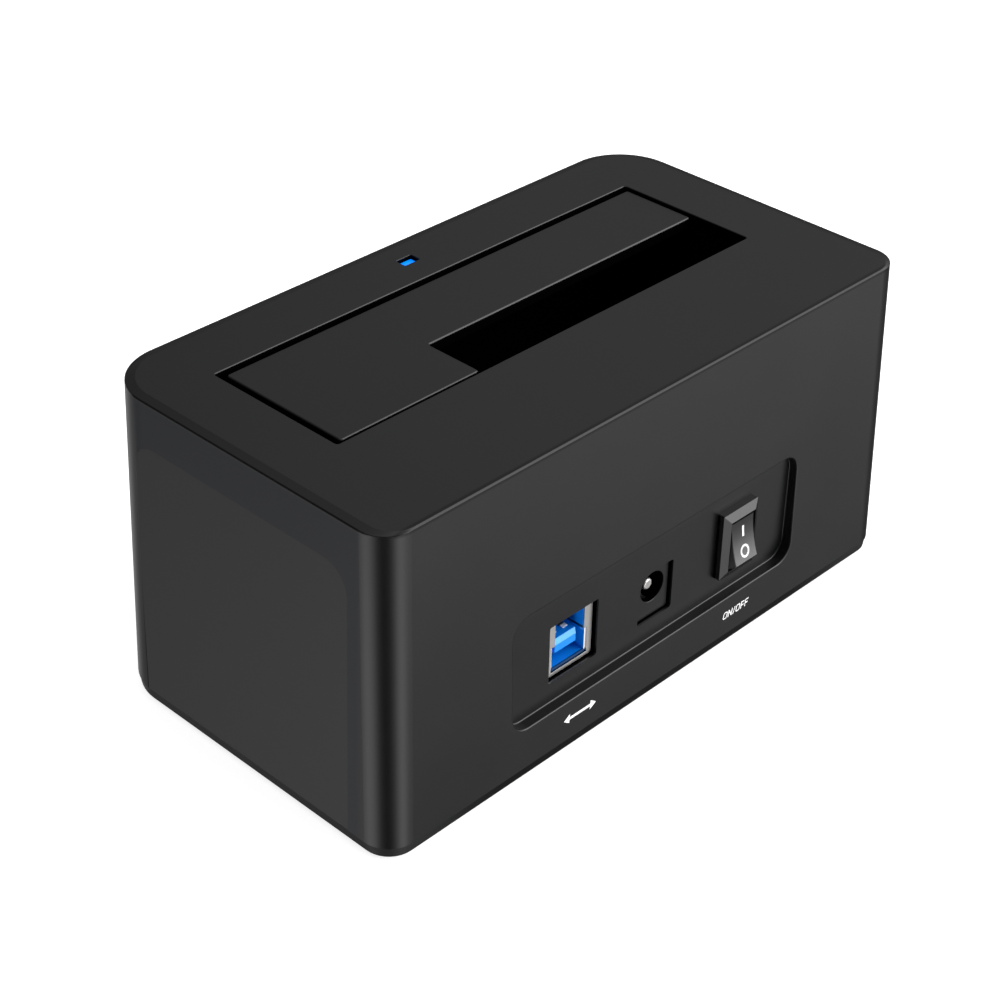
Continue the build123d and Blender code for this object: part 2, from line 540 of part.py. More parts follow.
# throat for the rocker, a little wider below the lip
house -= block(SW_X - OPEN_HX, SW_X + OPEN_HX, YP - 3.4, FLOOR_Y + 6,
               SW_Z - OPEN_HZ, SW_Z + OPEN_HZ)
house -= block(SW_X - OPEN_HX, SW_X + OPEN_HX, YP - 3.4, YP + 1.2,
               SW_Z - 5.75, SW_Z + 5.75)
house -= rod_x(SW_X - OPEN_HX - 0.55, SW_X + OPEN_HX + 0.55, YP, ZP, 0.85)
# snap ribs behind the recess floor
for sx in (1, -1):
    house += block(SW_X + sx * (SW_BODY_HX - 0.2), SW_X + sx * (SW_BODY_HX + 0.45),
                   FLOOR_Y - 4.0, FLOOR_Y - 2.05, SW_Z - 2.5, SW_Z + 2.5)
# blade slots in the back
for dz in (3.2, -3.2):
    house -= block(SW_X - 1.6, SW_X + 1.6, FLOOR_Y - 13.0, FLOOR_Y - 9.0,
                   SW_Z + dz - 0.4, SW_Z + dz + 0.4)
nodes["switch_housing"] = house

RK_R = 5.25                # radius of the rocker's end arcs
RK_HX = 3.15
TH = math.radians(11.25)   # half of the throw
tip_a = math.radians(33.65)
tipz, tipy = RK_R * math.cos(tip_a), RK_R * math.sin(tip_a)
low_y = -1.50
low_a = math.asin(low_y / RK_R)
lowz = RK_R * math.cos(low_a)
mid_a = (tip_a + low_a) / 2


def rp(dz, dy):
    return (0, dy, dz)


dish = ThreePointArc(rp(tipz, tipy), rp(0, 2.52), rp(-tipz, tipy))
end_dn = ThreePointArc(rp(-tipz, tipy),
                       rp(-RK_R * math.cos(mid_a), RK_R * math.sin(mid_a)), rp(-lowz, low_y))
keel = Line(rp(-lowz, low_y), rp(lowz, low_y))
end_up = ThreePointArc(rp(lowz, low_y),
                       rp(RK_R * math.cos(mid_a), RK_R * math.sin(mid_a)), rp(tipz, tipy))
face = make_face(dish + end_dn + keel + end_up)
rocker = extrude(face, amount=2 * RK_HX)
rbb = rocker.bounding_box()
rocker = Pos(-(rbb.min.X + rbb.max.X) / 2, 0, 0) * rocker
rocker = fillet([e for e in rocker.edges()
                 if e.bounding_box().size.X < 0.01 and e.center().Y > 2.0], 0.22)
rocker += rod_x(-RK_HX - 0.80, RK_HX + 0.80, 0, 0, 0.80)
# rest position: upper half pressed in, lower half standing out
rocker = Pos(SW_X, YP, ZP) * Rot(math.degrees(TH), 0, 0) * rocker
nodes["switch_rocker"] = rocker
print("rocker box", rocker.bounding_box())

blades = []
for dz in (3.2, -3.2):
    blades.append(block(SW_X - 1.6, SW_X + 1.6, FLOOR_Y - 17.0, FLOOR_Y - 9.0,
                        SW_Z + dz - 0.4, SW_Z + dz + 0.4))
nodes["switch_terminals"] = group(blades)

# header on the board and the two insulated leads from the switch
HDR_Y = 14.4
nodes["switch_header"] = chamfer(
    [e for e in rblock_z(SW_X - 3.2, SW_X + 3.2, HDR_Y - 1.6, HDR_Y + 1.6,
                         BOARD_ZT, BOARD_ZT + 2.0, 0.3).edges()
     if e.bounding_box().min.Z > BOARD_ZT + 1.99], 0.15)
leads = []
LEAD_R = 0.55
blade_end = FLOOR_Y - 17.0
for (x, dz) in ((SW_X + 1.0, 3.2), (SW_X - 1.0, -3.2)):
    zt = SW_Z + dz
    path = FilletPolyline((x, blade_end, zt), (x, HDR_Y, zt), (x, HDR_Y, BOARD_ZT + 2.0),
                          radius=1.2)
    sec = Plane(origin=(x, blade_end, zt), z_dir=(0, -1, 0)) * Circle(LEAD_R)
    leads.append(sweep(sec, path=path))
    print("lead radius 1.2, length", round(path.length, 2))
nodes["switch_leads"] = group(leads)

# ---------------------------------------------------------------- indicator
nodes["status_led"] = chip(LED_X, LED_Y, 1.6, 0.8, 0.9)
pipe = rblock_z(LED_X - 1.80, LED_X + 1.80, LED_Y - 1.15, LED_Y + 1.15,
                BOARD_ZT + 1.2, Z_TOP - 0.8, 0.3)
pipe += rblock_z(LED_X - 3.0, LED_X + 3.0, LED_Y - 2.2, LED_Y + 2.2,
                 Z_TOP - TOP_T - 1.2, Z_TOP - TOP_T, 0.5)
pipe = chamfer([e for e in pipe.edges() if e.bounding_box().min.Z > Z_TOP - 0.81], 0.12)
nodes["led_light_pipe"] = pipe

# ----------------------------------------------------------------------- write
for name, shape in nodes.items():
    save(shifted(shape), name)
    bb = shape.bounding_box()
print("nodes", len(nodes))
allb = Compound(children=[Solid(s.wrapped) for v in nodes.values() for s in v.solids()]).bounding_box()
print("whole box", allb)
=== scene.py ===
import json
import math

import bmesh
import bpy
from mathutils import Matrix, Vector


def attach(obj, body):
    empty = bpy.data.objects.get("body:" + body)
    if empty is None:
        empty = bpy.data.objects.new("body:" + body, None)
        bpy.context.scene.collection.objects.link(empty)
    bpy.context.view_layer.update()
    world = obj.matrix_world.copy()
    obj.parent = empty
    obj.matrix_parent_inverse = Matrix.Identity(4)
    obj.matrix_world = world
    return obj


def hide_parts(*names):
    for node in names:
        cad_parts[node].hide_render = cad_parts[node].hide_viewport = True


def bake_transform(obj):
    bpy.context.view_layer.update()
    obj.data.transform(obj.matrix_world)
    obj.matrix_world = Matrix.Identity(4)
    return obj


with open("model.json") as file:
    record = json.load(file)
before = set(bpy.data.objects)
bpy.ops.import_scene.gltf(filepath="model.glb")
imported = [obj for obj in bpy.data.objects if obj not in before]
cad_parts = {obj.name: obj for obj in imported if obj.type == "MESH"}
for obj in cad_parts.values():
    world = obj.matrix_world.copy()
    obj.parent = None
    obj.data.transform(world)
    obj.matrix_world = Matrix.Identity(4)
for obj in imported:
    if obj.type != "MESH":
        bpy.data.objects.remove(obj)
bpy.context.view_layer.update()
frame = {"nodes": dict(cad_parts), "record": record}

NODES = frame["nodes"]
SCENE = bpy.context.scene
SCENE.view_settings.view_transform = "Standard"
SCENE.view_settings.look = "None"
SCENE.view_settings.exposure = 0.0
SCENE.view_settings.gamma = 1.0
MM = 0.001
Y_SHIFT = -0.63           # same shift that the frame's parts carry, in mm


def mm(x, y, z):
    """A body-centred point in millimetres, in the row frame in metres."""
    return Vector((x * MM, (y + Y_SHIFT) * MM, z * MM))


# ------------------------------------------------------------------ node helpers
class Tree:
    """Small helper round a node tree."""

    def __init__(self, tree):
        self.t = tree
        self.n = tree.nodes
        self.l = tree.links
        self.n.clear()

    def new(self, kind, **props):
        node = self.n.new(kind)
        for k, v in props.items():
            setattr(node, k, v)
        return node

    def link(self, a, b):
        self.l.new(a, b)

    def put(self, socket, value):
        if isinstance(value, bpy.types.NodeSocket):
            self.link(value, socket)
        else:
            socket.default_value = value

    def math(self, op, a, b=None, c=None, clamp=False):
        m = self.new("ShaderNodeMath", operation=op, use_clamp=clamp)
        self.put(m.inputs[0], a)
        if b is not None:
            self.put(m.inputs[1], b)
        if c is not None:
            self.put(m.inputs[2], c)
        return m.outputs[0]

    def vmath(self, op, a, b=None):
        m = self.new("ShaderNodeVectorMath", operation=op)
        self.put(m.inputs[0], a)
        if b is not None:
            self.put(m.inputs[1], b)
        return m.outputs["Value"] if op in ("DOT_PRODUCT", "LENGTH", "DISTANCE") else m.outputs[0]

    def noise(self, vec, scale, detail=2.0, rough=0.5, distortion=0.0):
        m = self.new("ShaderNodeTexNoise")
        self.link(vec, m.inputs["Vector"])
        m.inputs["Scale"].default_value = scale
        m.inputs["Detail"].default_value = detail
        m.inputs["Roughness"].default_value = rough
        m.inputs["Distortion"].default_value = distortion
        return m.outputs["Fac"]

    def voronoi(self, vec, scale, feature="F1", randomness=1.0):
        m = self.new("ShaderNodeTexVoronoi", feature=feature)
        self.link(vec, m.inputs["Vector"])
        m.inputs["Scale"].default_value = scale
        m.inputs["Randomness"].default_value = randomness
        return m.outputs["Distance"]

    def map(self, value, a, b, c, d, smooth=False):
        m = self.new("ShaderNodeMapRange", clamp=True)
        if smooth:
            m.interpolation_type = "SMOOTHSTEP"
        self.link(value, m.inputs[0])
        for i, v in enumerate((a, b, c, d)):
            m.inputs[1 + i].default_value = v
        return m.outputs[0]

    def mix(self, fac, a, b):
        m = self.new("ShaderNodeMix", data_type="RGBA")
        self.put(m.inputs[0], fac)
        self.put(m.inputs[6], a)
        self.put(m.inputs[7], b)
        return m.outputs[2]

    def bump(self, height, strength, distance, normal=None):
        m = self.new("ShaderNodeBump")
        m.inputs["Strength"].default_value = strength
        m.inputs["Distance"].default_value = distance
        self.link(height, m.inputs["Height"])
        if normal is not None:
            self.link(normal, m.inputs["Normal"])
        return m.outputs["Normal"]


def rgba(c):
    return (c[0], c[1], c[2], 1.0)


def material(name):
    m = bpy.data.materials.new(name)
    m.use_nodes = True
    t = Tree(m.node_tree)
    out = t.new("ShaderNodeOutputMaterial")
    bsdf = t.new("ShaderNodeBsdfPrincipled")
    t.link(bsdf.outputs[0], out.inputs[0])
    coord = t.new("ShaderNodeTexCoord").outputs["Object"]
    return m, t, bsdf, coord


def wear(t, amount):
    """0 to 1 along convex edges, for rubbed plastic and metal."""
    g = t.new("ShaderNodeNewGeometry").outputs["Pointiness"]
    return t.map(g, 0.505, 0.56, 0.0, amount, smooth=True)


def moulded(name, col, rough=0.40, grain=2600.0, grain_mm=0.006, grain_strength=0.35,
            blotch=55.0, blotch_rough=0.012, tone=0.14, edge=0.0, edge_col=None,
            spec=0.5, round_mm=0.0, scuff=True, field=None, shade=None, tint=None):
    """Injection-moulded plastic: fine spark-erosion grain, faint flow tone, edges that
    catch a little light.  shade(t, co) gives the share of sheen that each place keeps and
    a mask of painted black shade, tint(t, co, base) may recolour places, some with painted light or shade."""
    m, t, bsdf, co = material(name)
    dark = tuple(c * (1 - tone) for c in col)
    light = tuple(min(c * (1 + tone), 1.0) for c in col)
    flow = t.noise(co, blotch, 4.0, 0.55, 0.4)
    fine = t.noise(co, grain, 3.0, 0.6)
    base = t.mix(t.map(flow, 0.3, 0.7, 0.0, 1.0), rgba(dark), rgba(light))
    speck = t.map(fine, 0.35, 0.75, 0.0, 0.35)
    base = t.mix(speck, base, rgba(tuple(min(c * 1.35, 1.0) for c in col)))
    if edge:
        base = t.mix(wear(t, edge), base, rgba(edge_col or light))
    r = t.map(flow, 0.25, 0.75, rough - blotch_rough, rough + blotch_rough)
    if field is not None:
        inside, rim = field(t, co)
        base = t.mix(inside, base, rgba(FIELD_TONE))
        # painted shade: a dark line along the step round the sunk field
        base = t.mix(t.math("MULTIPLY", rim, 0.3), base, (0.0, 0.0, 0.0, 1))
        r = t.math("ADD", r, t.math("MULTIPLY", inside, 0.015))
    if tint is not None:
        base = tint(t, co, base)
    bsdf.inputs["Specular IOR Level"].default_value = spec
    if shade is not None:
        keep, painted_shade = shade(t, co)
        # painted shade: the masked places are painted near black, rougher and with little sheen
        base = t.mix(painted_shade, base, (0.0002, 0.0002, 0.0002, 1))
        r = t.math("ADD", r, t.math("MULTIPLY", painted_shade, 0.35))
        t.link(t.math("MULTIPLY", keep, spec), bsdf.inputs["Specular IOR Level"])
    t.link(base, bsdf.inputs["Base Color"])
    if scuff:
        lines = t.new("ShaderNodeMapping")
        lines.inputs["Rotation"].default_value = (0.2, 0.3, 0.65)
        lines.inputs["Scale"].default_value = (1.0, 14.0, 14.0)
        t.link(co, lines.inputs["Vector"])
        s = t.noise(lines.outputs[0], 90.0, 2.0, 0.5)
        s = t.map(s, 0.68, 0.76, 0.0, 0.02)
        r = t.math("ADD", r, s)
    t.link(r, bsdf.inputs["Roughness"])
    nrm = None
    if round_mm:
        bev = t.new("ShaderNodeBevel", samples=4)
        bev.inputs["Radius"].default_value = round_mm * MM
        nrm = bev.outputs[0]
    t.link(t.bump(fine, grain_strength, grain_mm * MM, nrm), bsdf.inputs["Normal"])
    return m


def place(t, co):
    """Object coordinates as body-centred millimetres."""
    p = t.new("ShaderNodeSeparateXYZ")
    t.link(co, p.inputs[0])
    x = t.math("MULTIPLY", p.outputs[0], 1000.0)
    y = t.math("SUBTRACT", t.math("MULTIPLY", p.outputs[1], 1000.0), Y_SHIFT)
    z = t.math("MULTIPLY", p.outputs[2], 1000.0)
    return x, y, z


def between(t, v, lo, hi, soft):
    """1 where lo < v < hi, with soft millimetres of fade inside either end."""
    return t.math("MULTIPLY", t.map(v, lo, lo + soft, 0.0, 1.0, smooth=True),
                  t.map(v, hi - soft, hi, 1.0, 0.0, smooth=True))


def end_outline(t, x, y, z):
    """Distance in millimetres from the outline of the sunk field of an end wall, negative
    inside it, and a mask of the two end walls."""
    qy = t.math("SUBTRACT", t.math("ABSOLUTE", t.math("SUBTRACT", y, 0.4)), 26.8 - 5.5)
    qz = t.math("SUBTRACT", z, 56.06 - 5.5)
    oy, oz = t.math("MAXIMUM", qy, 0.0), t.math("MAXIMUM", qz, 0.0)
    out = t.math("SQRT", t.math("ADD", t.math("MULTIPLY", oy, oy), t.math("MULTIPLY", oz, oz)))
    inner = t.math("MINIMUM", t.math("MAXIMUM", qy, qz), 0.0)
    d = t.math("SUBTRACT", t.math("ADD", out, inner), 5.5)
    return d, t.map(t.math("ABSOLUTE", x), 65.4, 65.6, 0.0, 1.0)


def end_field(t, co):
    """Mask of the shallow sunk field of both end walls, and of a line of painted shade along the step of
    its outline.
    """
    d, wall = end_outline(t, *place(t, co))
    inside = t.math("MULTIPLY", t.map(d, -0.10, 0.02, 1.0, 0.0, smooth=True), wall)
    rim = t.math("MULTIPLY", t.map(t.math("ABSOLUTE", d), 0.02, 0.22, 1.0, 0.0, smooth=True), wall)
    return inside, rim


def shell_shade(t, co):
    """Painted shade and light on the shell: less sheen on the border round the end fields;
    less sheen as painted shade on the lower recess wall, the top's far band, faintly the far
    part of the top, and the near top edge; more sheen as painted light on the recess floor;
    painted black shade inside the drive slot, the connector cut-outs and the LED window, and
    a painted shade line along the top edge of each end wall."""
    x, y, z = place(t, co)
    ax = t.math("ABSOLUTE", x)
    d, wall = end_outline(t, x, y, z)
    border = t.math("MULTIPLY", t.map(d, -0.10, 0.02, 0.0, 1.0, smooth=True), wall)
    border = t.math("MULTIPLY", border, between(t, y, -27.5, 31.5, 2.5))
    border = t.math("MULTIPLY", border, t.map(z, 64.2, 64.6, 1.0, 0.0))
    # less sheen as painted shade on the lower recess wall
    ledge = t.math("MULTIPLY", between(t, y, 34.80, 36.75, 0.10), between(t, z, 9.5, 13.0, 0.5))
    ledge = t.math("MULTIPLY", ledge, t.map(ax, 38.0, 39.0, 1.0, 0.0))
    # painted shade: black in the drive slot, the connector cut-outs and the LED window
    slot = t.math("MULTIPLY", between(t, x, -53.2, 53.6, 0.3), between(t, y, -22.2, 10.9, 0.3))
    slot = t.math("MULTIPLY", slot, between(t, z, 50.0, 65.03, 0.16))
    cut = t.math("MULTIPLY", between(t, y, 26.0, 34.34, 0.16), between(t, z, 13.0, 32.0, 0.5))
    cut = t.math("MULTIPLY", cut, t.map(ax, 34.0, 35.0, 1.0, 0.0))
    pane = t.math("MULTIPLY", between(t, x, -1.65, 2.55, 0.10), between(t, y, -29.70, -26.80, 0.10))
    pane = t.math("MULTIPLY", pane, t.map(z, 64.96, 65.08, 1.0, 0.0))
    painted_shade = t.math("MAXIMUM", t.math("MAXIMUM", slot, cut), pane)
    # painted shade: a dark line along the top edge of each end wall
    crease = t.math("MULTIPLY", between(t, z, 64.58, 64.94, 0.05), t.map(ax, 66.32, 66.40, 0.0, 0.70))
    painted_shade = t.math("MAXIMUM", painted_shade, t.math("MULTIPLY", crease, t.map(y, 29.0, 33.0, 1.0, 0.0)))
    # less sheen as painted shade on the top's far band, faintly on the far part of the top and on the near
    # top edge; more sheen as painted light on the recess floor, most near its top
    band = t.math("MULTIPLY", t.map(y, -33.8, -33.5, 0.26, 0.0), t.map(z, 64.5, 64.7, 0.0, 1.0))
    far = t.math("MULTIPLY", t.map(y, -34.0, 8.0, 0.10, 0.0), t.map(z, 64.5, 64.7, 0.0, 1.0))
    floor_y = t.math("MULTIPLY", t.map(y, 34.74, 34.80, 1.0, 0.0), t.map(y, 34.55, 34.60, 0.0, 1.0))
    floor_y = t.math("MULTIPLY", floor_y, t.map(ax, 38.2, 38.5, 1.0, 0.0))
    lift = t.math("MULTIPLY", floor_y, t.math("ADD", 0.09, t.map(z, 32.2, 33.4, 0.0, 0.10)))
    crest = t.math("MULTIPLY", t.map(y, 34.4, 34.8, 0.0, 0.44), t.map(z, 64.2, 64.6, 0.0, 1.0))
    keep = t.math("SUBTRACT", 1.0, t.math("MAXIMUM", crest, t.math("MULTIPLY", border, 0.22)))
    keep = t.math("MULTIPLY", keep, t.math("SUBTRACT", 1.0, t.math("MULTIPLY", ledge, 0.50)))
    keep = t.math("MULTIPLY", keep, t.math("SUBTRACT", t.math("ADD", 1.0, lift), t.math("ADD", band, far)))
    keep = t.math("MULTIPLY", keep, t.math("SUBTRACT", 1.0, t.math("MULTIPLY", painted_shade, 0.97)))
    return keep, painted_shade


def shell_tint(t, co, base):
    """The border round the end fields has a slightly cooler tone."""
    x, y, z = place(t, co)
    d, wall = end_outline(t, x, y, z)
    border = t.math("MULTIPLY", t.map(d, -0.10, 0.02, 0.0, 1.0, smooth=True), wall)
    border = t.math("MULTIPLY", border, between(t, y, -27.5, 31.5, 2.5))
    border = t.math("MULTIPLY", border, t.map(z, 64.2, 64.6, 1.0, 0.0))
    return t.mix(border, base, (0.0022, 0.0032, 0.0066, 1))


def base_painted_light(t, co, base):
    """Painted light: the rim of the base plate is painted a little paler towards both ends."""
    x, y, z = place(t, co)
    ends = t.map(t.math("ABSOLUTE", x), 38.0, 66.0, 0.0, 1.0, smooth=True)
    return t.mix(ends, base, (0.0150, 0.0150, 0.0153, 1))


def rocker_painted_light(t, co, base):
    """Painted light: the rocker is painted paler towards its raised lower end, which faces up into the
    light.
    """
    z = place(t, co)[2]
    return t.mix(t.map(z, 24.5, 19.5, 0.0, 1.0), base, (0.0520, 0.0520, 0.0530, 1))


def deeper(axis, start, stop, share=0.97):
    """Painted shade: black below (axis 2) or behind (axis 1) a face: full from stop on, none at start."""
    def shade(t, co):
        v = place(t, co)[axis]
        painted_shade = t.map(v, stop, start, 1.0, 0.0, smooth=True)
        return t.math("SUBTRACT", 1.0, t.math("MULTIPLY", painted_shade, share)), \
            t.math("MULTIPLY", painted_shade, share)
    return shade


def port_painted_light_and_rim(t, co, base):
    """Inside of the data port: painted deep shade in the hump and behind the lower lip, a painted
    shade line along the shoulders, a painted highlight on the upper front of the tongue, and a
    bare bright rim beside the mouth."""
    x, y, z = place(t, co)
    away = t.math("ABSOLUTE", t.math("SUBTRACT", x, 21.10))
    hump = t.math("MULTIPLY", t.map(z, 22.45, 23.1, 0.0, 1.0, smooth=True),
                  t.map(y, 32.2, 30.6, 0.0, 0.72, smooth=True))
    lip = t.math("MULTIPLY", t.map(z, 17.12, 17.28, 1.0, 0.0, smooth=True),
                 t.map(y, 32.9, 33.05, 0.0, 0.90, smooth=True))
    line = t.math("MULTIPLY", between(t, z, 21.60, 22.80, 0.30), t.map(away, 3.45, 3.6, 0.0, 0.95))
    # painted highlight: a paler blue strip on the upper front of the tongue
    tongue_highlight = t.math("MULTIPLY", between(t, z, 21.13, 22.60, 0.06), t.map(y, 32.30, 32.36, 0.0, 1.0))
    base = t.mix(tongue_highlight, base, (0.10, 0.40, 0.95, 1))
    # painted shade: dark navy in the hump, behind the lower lip and along the shoulders
    dark = t.math("MAXIMUM", hump, t.math("MAXIMUM", lip, line))
    base = t.mix(dark, base, (0.0004, 0.006, 0.020, 1))
    rim = t.math("MULTIPLY", t.map(away, 4.17, 4.19, 0.0, 1.0), t.map(y, 33.24, 33.27, 0.0, 1.0))
    rim = t.math("MULTIPLY", rim, between(t, z, 17.1, 21.9, 0.1))
    return t.mix(rim, base, (0.88, 0.88, 0.87, 1))


def plate_tint(t, co, base):
    """The cut edge of the port's front plate is in shade along its lower side."""
    x, y, z = place(t, co)
    low = t.math("MULTIPLY", t.map(z, 16.75, 16.70, 0.0, 1.0), t.map(y, 33.57, 33.54, 0.0, 1.0))
    return t.mix(low, base, (0.010, 0.025, 0.06, 1))


def switch_shade(t, co):
    """The outer sides and the well of the switch frame are in shade, its upper side isn't."""
    x, y, z = place(t, co)
    painted_shade = t.math("MULTIPLY", t.map(y, 35.10, 35.24, 1.0, 0.0, smooth=True),
                    t.map(z, 29.9, 30.1, 0.93, 0.0))
    return t.math("SUBTRACT", 1.0, painted_shade), painted_shade


def metal(name, col, rough=0.25, stretch=(1.0, 1.0, 1.0), scale=1500.0, streak=0.06,
          tarnish=0.12, round_mm=0.0, bump_mm=0.003, tint=None):
    """Drawn, stamped or plated metal with fine streaks and a little tarnish."""
    m, t, bsdf, co = material(name)
    mp = t.new("ShaderNodeMapping")
    mp.inputs["Scale"].default_value = stretch
    t.link(co, mp.inputs["Vector"])
    streaks = t.noise(mp.outputs[0], scale, 3.0, 0.6)
    cloud = t.noise(co, 180.0, 3.0, 0.5)
    base = t.mix(t.map(cloud, 0.3, 0.75, 0.0, 1.0), rgba(col),
                 rgba(tuple(c * (1 - tarnish) for c in col)))
    if tint is not None:
        base = tint(t, co, base)
    t.link(base, bsdf.inputs["Base Color"])
    bsdf.inputs["Metallic"].default_value = 1.0
    r = t.map(streaks, 0.3, 0.7, max(rough - streak, 0.03), rough + streak)
    t.link(r, bsdf.inputs["Roughness"])
    nrm = None
    if round_mm:
        bev = t.new("ShaderNodeBevel", samples=4)
        bev.inputs["Radius"].default_value = round_mm * MM
        nrm = bev.outputs[0]
    t.link(t.bump(streaks, 0.25, bump_mm * MM, nrm), bsdf.inputs["Normal"])
    return m


def laminate(name):
    """Green solder mask with faint copper tracks under it."""
    m, t, bsdf, co = material(name)
    brick = t.new("ShaderNodeTexBrick")
    brick.inputs["Scale"].default_value = 210.0
    brick.inputs["Mortar Size"].default_value = 0.035
    brick.inputs["Color1"].default_value = (0.010, 0.075, 0.030, 1)
    brick.inputs["Color2"].default_value = (0.014, 0.095, 0.038, 1)
    brick.inputs["Mortar"].default_value = (0.020, 0.130, 0.050, 1)
    t.link(co, brick.inputs["Vector"])
    cloud = t.noise(co, 120.0, 3.0)
    base = t.mix(t.map(cloud, 0.35, 0.7, 0.0, 0.5), brick.outputs["Color"],
                 (0.008, 0.060, 0.025, 1))
    t.link(base, bsdf.inputs["Base Color"])
    t.link(t.map(cloud, 0.3, 0.7, 0.26, 0.38), bsdf.inputs["Roughness"])
    t.link(t.bump(brick.outputs["Fac"], 0.4, 0.03 * MM), bsdf.inputs["Normal"])
    return m


def lit(name, core, rim, strength):
    """Clear blue light pipe, lit from below, its glow mottled by noise."""
    m, t, bsdf, co = material(name)
    glow = t.noise(co, 900.0, 3.0, 0.6)
    base = t.mix(t.map(glow, 0.3, 0.7, 0.0, 1.0), rgba(core), rgba(rim))
    t.link(base, bsdf.inputs["Base Color"])
    t.link(base, bsdf.inputs["Emission Color"])
    bsdf.inputs["Emission Strength"].default_value = strength
    t.link(t.map(glow, 0.3, 0.7, 0.16, 0.26), bsdf.inputs["Roughness"])
    t.link(t.bump(glow, 0.2, 0.01 * MM), bsdf.inputs["Normal"])
    return m


def rubbery(name, col):
    m, t, bsdf, co = material(name)
    grit = t.noise(co, 1800.0, 4.0, 0.65)
    dust = t.noise(co, 260.0, 4.0, 0.6)
    base = t.mix(t.map(dust, 0.45, 0.8, 0.0, 0.6), rgba(col), rgba(tuple(c * 2.2 for c in col)))
    t.link(base, bsdf.inputs["Base Color"])
    t.link(t.map(grit, 0.3, 0.7, 0.62, 0.82), bsdf.inputs["Roughness"])
    t.link(t.bump(grit, 0.5, 0.02 * MM), bsdf.inputs["Normal"])
    return m


def printed(name, col):
    """Pad-printed ink: slightly uneven cover and soft sheen."""
    m, t, bsdf, co = material(name)
    cover = t.noise(co, 2400.0, 3.0, 0.6)
    base = t.mix(t.map(cover, 0.3, 0.75, 0.0, 1.0), rgba(col), rgba(tuple(c * 0.86 for c in col)))
    t.link(base, bsdf.inputs["Base Color"])
    t.link(t.map(cover, 0.3, 0.7, 0.42, 0.58), bsdf.inputs["Roughness"])
    t.link(t.bump(cover, 0.2, 0.004 * MM), bsdf.inputs["Normal"])
    return m


# --------------------------------------------------------------------- materials
BLACK = (0.0030, 0.0030, 0.0032)
FIELD_TONE = (0.0045, 0.0045, 0.0045)
MATS = {
    "shell_black": moulded("shell_plastic", BLACK, rough=0.30, field=end_field, shade=shell_shade,
                           tint=shell_tint),
    "base_black": moulded("base_plastic", (0.0022, 0.0022, 0.0024), rough=0.34, spec=0.26,
                           tint=base_painted_light),
    # the drive bay's black plastic is painted darker still and nearly without sheen, as the shade deep in
    # the slot
    "bay_black": moulded("bay_plastic_shade_black", (0.0009, 0.0009, 0.0009), rough=0.80, spec=0.02),
    # the flap's sides and underside are painted black as shade
    "flap_black": moulded("flap_plastic", BLACK, rough=0.31, spec=0.48,
                          shade=deeper(2, 64.44, 64.30)),
    "steel_pin": metal("pin_steel", (0.55, 0.55, 0.56), 0.28, (1, 40, 40)),
    "spring_steel": metal("spring_wire", (0.58, 0.57, 0.56), 0.30),
    "board_green": laminate("board_laminate"),
    "socket_black": moulded("socket_resin", (0.014, 0.014, 0.015), rough=0.45, scuff=False),
    "gold_contact": metal("contact_gold", (0.90, 0.66, 0.28), 0.22),
    "chip_black": moulded("chip_epoxy", (0.018, 0.018, 0.019), rough=0.55, grain=1800, scuff=False),
    "ferrite_grey": moulded("ferrite", (0.055, 0.055, 0.057), rough=0.6, grain=1500, scuff=False),
    "can_aluminium": metal("can_alu", (0.78, 0.78, 0.79), 0.30),
    "can_steel": metal("can_plate", (0.62, 0.62, 0.63), 0.26),
    "port_nickel": metal("port_plate", (0.53, 0.52, 0.51), 0.42, scale=700.0, streak=0.02,
                         tarnish=0.04, round_mm=0.05, bump_mm=0.0004, tint=plate_tint),
    "port_blue": moulded("port_resin", (0.001, 0.215, 0.74), rough=0.36, grain=3200, tone=0.05,
                         spec=0.35, scuff=False, round_mm=0.05, tint=port_painted_light_and_rim),
    # everything behind the jack's front face is painted black as shade
    "jack_black": moulded("jack_resin", (0.0035, 0.0035, 0.0037), rough=0.31, scuff=False,
                          shade=deeper(1, 33.82, 33.74)),
    "switch_grey": moulded("switch_resin", (0.006, 0.006, 0.0063), rough=0.30, scuff=False, round_mm=0.06,
                           shade=switch_shade),
    "rocker_grey": moulded("rocker_resin", (0.0050, 0.0050, 0.0053), rough=0.30, scuff=False,
                           tint=rocker_painted_light),
    "brass_blade": metal("blade_brass", (0.80, 0.65, 0.35), 0.28),
    "lead_red": moulded("lead_jacket", (0.32, 0.02, 0.02), rough=0.45, scuff=False),
    "led_white": moulded("led_resin", (0.75, 0.75, 0.70), rough=0.30, scuff=False),
    "led_blue": lit("pipe_lit", (0.0, 0.19, 0.95), (0.0, 0.23, 1.0), 0.86),
    "foot_rubber": rubbery("foot_compound", (0.018, 0.018, 0.018)),
    "screw_steel": metal("screw_zinc", (0.46, 0.46, 0.48), 0.32, round_mm=0.05),
}
for part in frame["record"]["subparts"]:
    ob = NODES[part["node"]]
    for s in ob.material_slots:
        s.material = MATS[part["material_slot"]]

INK = printed("print_ink", (0.86, 0.86, 0.86))


def contact_glint_and_shade(t, co, base):
    """The port's contacts: pale plated front ends painted bright as a glint, and painted shade further in.
    """
    y = place(t, co)[1]
    return t.mix(t.map(y, 30.3, 30.6, 1.0, 0.0, smooth=True), base, (0.02, 0.03, 0.05, 1))


# the port's contacts: pale plating, rough and bright as a painted glint, with painted shade further in
for s in NODES["data_port_contacts"].material_slots:
    s.material = moulded("contact_plating_and_glint", (0.90, 0.89, 0.86), rough=0.30, tone=0.04,
                         scuff=False, tint=contact_glint_and_shade)


